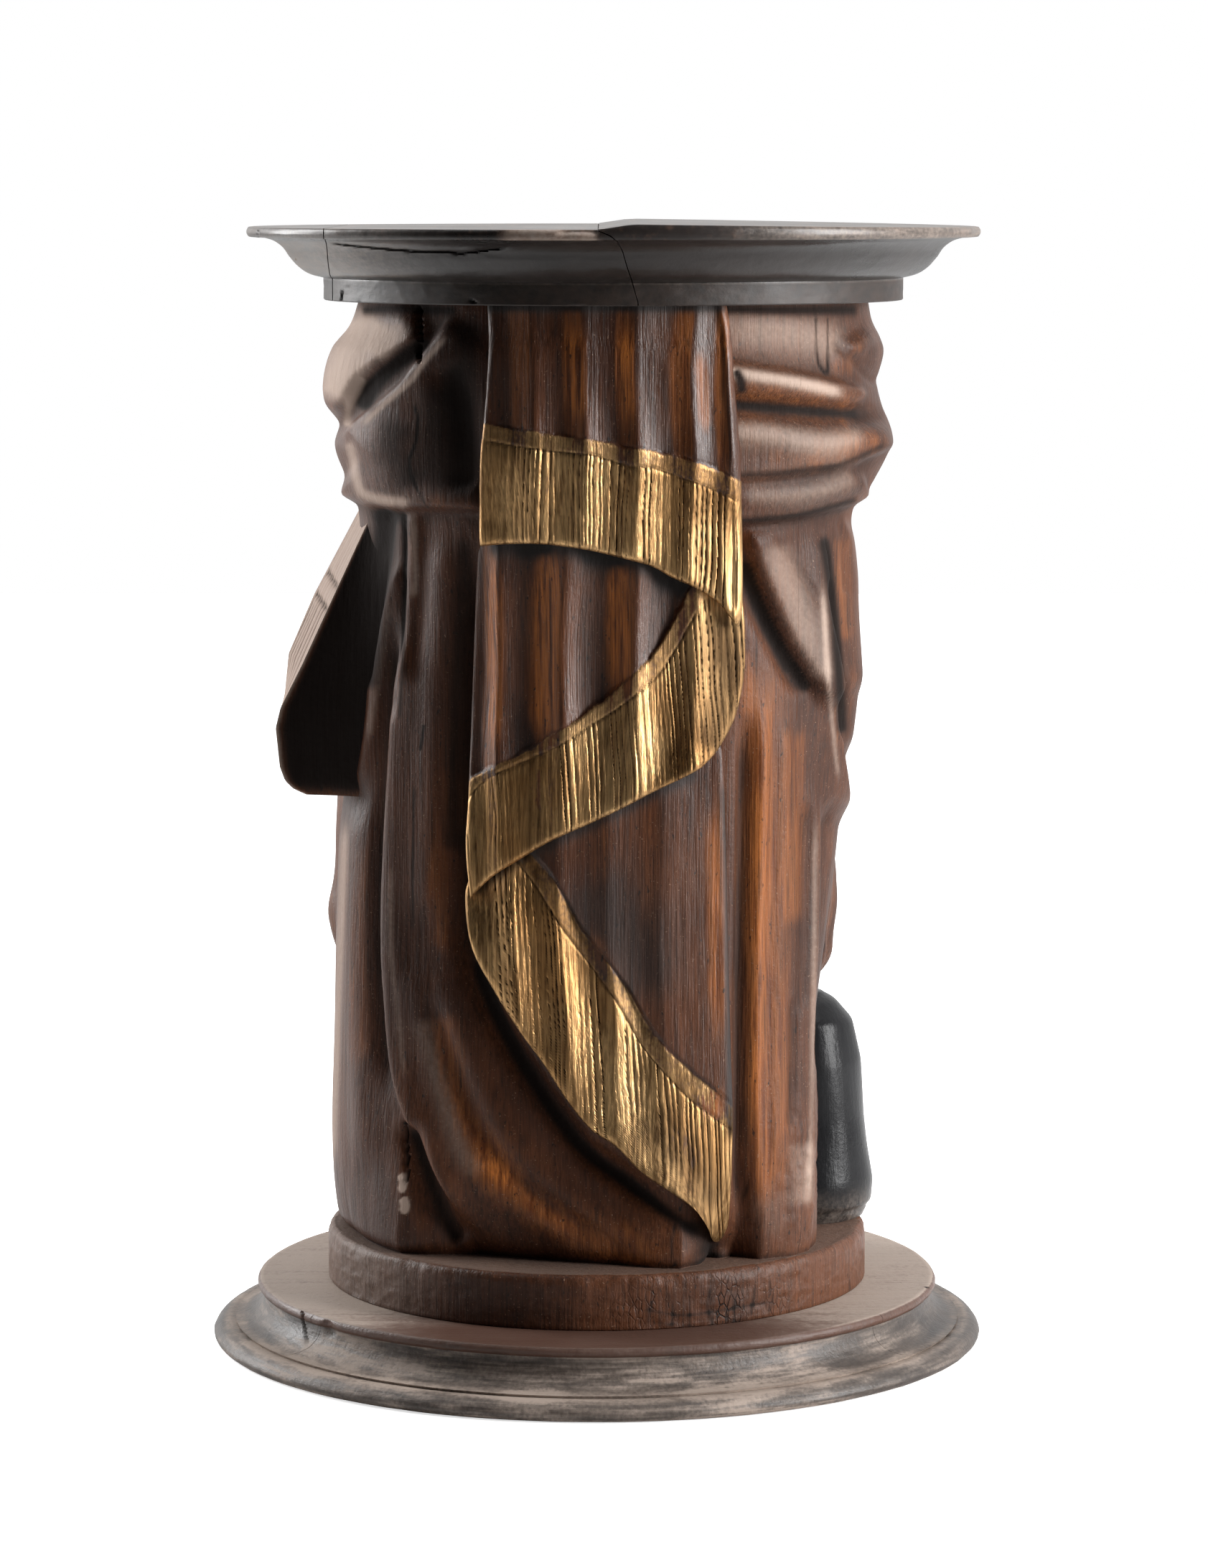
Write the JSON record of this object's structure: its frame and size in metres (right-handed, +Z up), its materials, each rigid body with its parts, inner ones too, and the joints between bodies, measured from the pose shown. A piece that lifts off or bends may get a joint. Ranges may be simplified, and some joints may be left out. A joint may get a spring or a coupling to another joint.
{
  "type": "figural plant stand",
  "caption": "Carved wooden plant stand: the draped lower body of a standing figure with a gilt fringed sash, on a stepped round base, carrying a round moulded top.",
  "frame": {"origin": "on the floor, under the centre of the round base", "axes": "+Z up; -Y is the side with the hanging sash, the figure's back; +X is to the right when that side is looked at"},
  "size_m": [0.51, 0.51, 0.7365],
  "materials": {
    "carved_wood": "dark umber stain, waxed, worn to orange brown on the ridges",
    "gilded_wood": "dark stain with antique gold paint on the fringe, rubbed through on the ridges",
    "boot_paint": "glossy black paint, scuffed",
    "top_paint": "satin black paint over dark stain, worn at the lip",
    "base_paint": "black paint worn to brown wood and dust",
    "dowel_wood": "bare hardwood",
    "screw_iron": "dull iron"
  },
  "bodies": {
    "root": {"figure_block_left": "carved_wood", "figure_block_centre": "carved_wood", "figure_block_right": "carved_wood", "side_sash_end": "carved_wood", "trouser_leg_left": "carved_wood", "trouser_leg_right": "carved_wood", "sash_fall": "gilded_wood", "sash_fold": "gilded_wood", "sash_tail": "gilded_wood", "boot_left": "boot_paint", "boot_right": "boot_paint", "top_plank_left": "top_paint", "top_plank_middle": "top_paint", "top_plank_right": "top_paint", "base_disc_plank_front": "base_paint", "base_disc_plank_middle": "base_paint", "base_disc_plank_back": "base_paint", "base_foot_board_front": "base_paint", "base_foot_board_back": "base_paint", "top_joint_dowels": "dowel_wood", "top_fixing_dowels": "dowel_wood", "block_joint_dowels": "dowel_wood", "base_disc_dowels": "dowel_wood", "boot_dowels": "dowel_wood", "side_sash_pins": "dowel_wood", "base_layer_screws": "screw_iron", "figure_fixing_screws": "screw_iron"}
  },
  "joints": []
}
